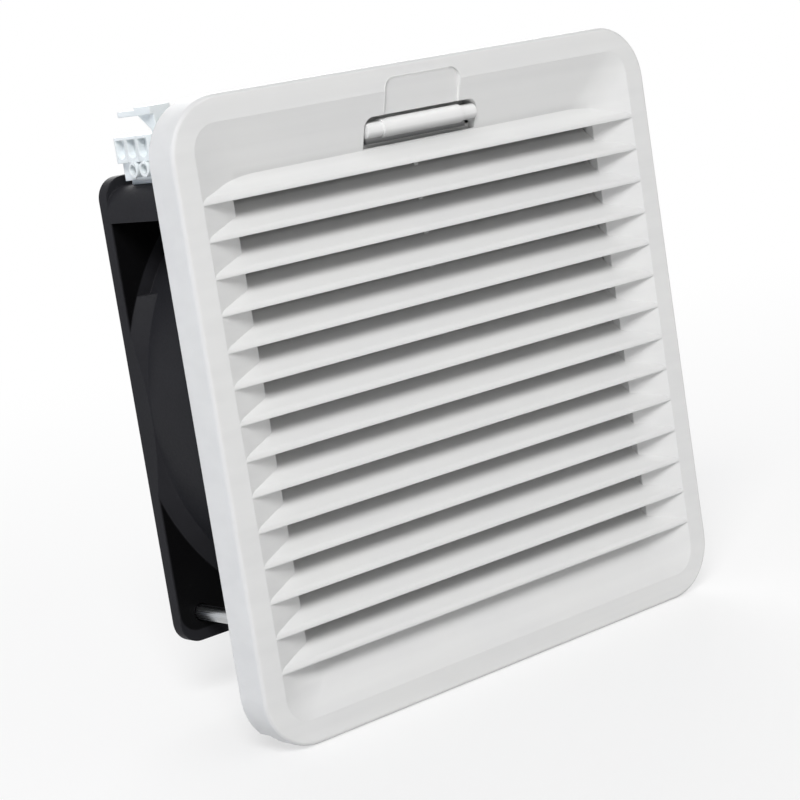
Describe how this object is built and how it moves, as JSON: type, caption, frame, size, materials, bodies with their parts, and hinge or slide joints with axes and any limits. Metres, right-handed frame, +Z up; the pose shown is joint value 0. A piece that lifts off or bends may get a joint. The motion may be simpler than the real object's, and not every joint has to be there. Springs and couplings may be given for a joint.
{
  "type": "cabinet filter fan",
  "caption": "Square louvred filter fan for an enclosure cut-out: hinged louvre cover with latch bar, filter mat, compact axial fan, rear guard and wire terminal.",
  "frame": {"origin": "centre of the panel cut-out in the plane of the gasket's rear face, where the unit seats on the panel", "axes": "+Z up, -Y out of the louvred front, +Y into the cabinet along the fan's axis, +X to the right seen from the front"},
  "size_m": [0.153, 0.0623, 0.153],
  "materials": {
    "front_cover": "fine satin moulding",
    "cover_latch": "smooth moulding",
    "base_frame": "fine satin moulding",
    "support_grid": "fine satin moulding",
    "panel_gasket": "closed-cell foam",
    "filter_mat": "grey fleece",
    "fan_housing": "black die casting",
    "impeller": "glass-filled moulding",
    "rotor_cup": "drawn sheet",
    "rotor_ring": "laminations",
    "rotor_shaft": "ground",
    "shaft_circlip": "blued spring steel",
    "preload_spring": "spring steel",
    "front_bearing": "ground",
    "rear_bearing": "ground",
    "stator_core": "laminations",
    "stator_coils": "enamelled copper",
    "finger_guard": "plated wire",
    "fan_screws": "zinc plated",
    "terminal_bracket": "natural polyamide",
    "terminal_body": "natural polyamide",
    "terminal_clamps": "tinned"
  },
  "bodies": {
    "base": {"base_frame": "base_frame", "support_grid": "support_grid", "panel_gasket": "panel_gasket", "filter_mat": "filter_mat", "fan_housing": "fan_housing", "front_bearing": "front_bearing", "rear_bearing": "rear_bearing", "stator_core": "stator_core", "stator_coils": "stator_coils", "finger_guard": "finger_guard", "fan_screws": "fan_screws", "terminal_bracket": "terminal_bracket", "terminal_body": "terminal_body", "terminal_clamps": "terminal_clamps"},
    "cover": {"front_cover": "front_cover"},
    "latch": {"cover_latch": "cover_latch"},
    "rotor": {"impeller": "impeller", "rotor_cup": "rotor_cup", "rotor_ring": "rotor_ring", "rotor_shaft": "rotor_shaft", "shaft_circlip": "shaft_circlip", "preload_spring": "preload_spring"}
  },
  "joints": [
    {"name": "cover_hinge", "type": "hinge", "parent": "base", "child": "cover", "pos_m": [0, -0.0046, -0.072], "axis": [1, 0, 0], "range_deg": [0, 90]},
    {"name": "latch_pivot", "type": "hinge", "parent": "cover", "child": "latch", "pos_m": [0, -0.00585, 0.06162], "axis": [-1, 0, 0], "range_deg": [0, 18]},
    {"name": "rotor_spin", "type": "hinge", "parent": "base", "child": "rotor", "pos_m": [0, 0.03, 0], "axis": [0, 1, 0], "continuous": true}
  ]
}
